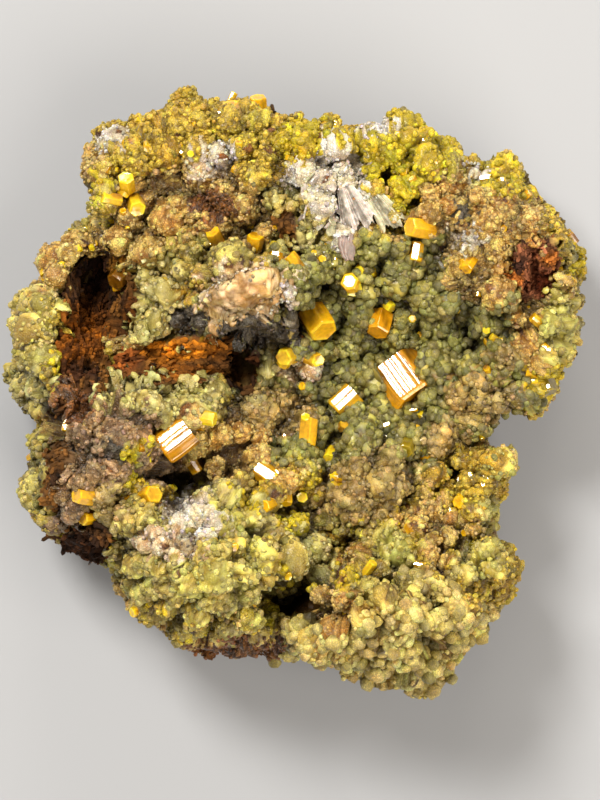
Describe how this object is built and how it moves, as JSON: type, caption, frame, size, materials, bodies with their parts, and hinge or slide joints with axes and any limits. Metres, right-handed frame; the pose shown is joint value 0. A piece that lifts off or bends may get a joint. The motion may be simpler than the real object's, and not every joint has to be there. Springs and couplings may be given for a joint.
{
  "type": "pyromorphite specimen",
  "caption": "Hand-sized mineral specimen: brown limonite rock with a rounded yellow-green pyromorphite crust, honey-yellow hexagonal crystals and a white bladed fan.",
  "frame": {"origin": "middle of the bounds, on the flat cut back that the specimen lies on", "axes": "+Z out of the face that carries the crystals, +X to the right and +Y up across that face"},
  "size_m": [0.0604, 0.0632, 0.034],
  "materials": {
    "limonite_rock": "rough",
    "green_crust": "glossy, finely bumpy",
    "white_blades": "satin",
    "honey_crystal": "glossy"
  },
  "bodies": {
    "root": {"matrix": "limonite_rock", "pyromorphite_crust": "green_crust", "white_bladed_fan": "white_blades", "crystal_striated_middle": "honey_crystal", "crystal_striated_left": "honey_crystal", "crystal_mirror_face": "honey_crystal", "crystal_blocky_orange": "honey_crystal", "crystal_big_orange": "honey_crystal", "crystal_golden_table": "honey_crystal", "crystal_yellow_by_nose_left": "honey_crystal", "crystal_yellow_by_nose_right": "honey_crystal", "crystal_upper_row_left": "honey_crystal", "crystal_upper_row_middle": "honey_crystal", "crystal_upper_row_bright": "honey_crystal", "crystal_under_white_fan": "honey_crystal", "crystal_right_of_fan": "honey_crystal", "crystal_right_slope": "honey_crystal", "crystal_upper_left_high": "honey_crystal", "crystal_upper_left_low": "honey_crystal", "crystal_upper_left_rim": "honey_crystal", "crystal_nose_top": "honey_crystal", "crystal_nose_top_table": "honey_crystal", "crystal_crest": "honey_crystal", "crystal_crest_table": "honey_crystal", "crystal_cavity_wall": "honey_crystal", "crystal_top_right": "honey_crystal", "crystal_olive_table": "honey_crystal", "crystal_ridge_pair_upper": "honey_crystal", "crystal_ridge_pair_lower": "honey_crystal", "crystal_ridge_round": "honey_crystal", "crystal_ledge_edge": "honey_crystal", "crystal_centre_small": "honey_crystal", "crystal_olive_centre": "honey_crystal", "crystal_right_knob": "honey_crystal"}
  },
  "joints": []
}
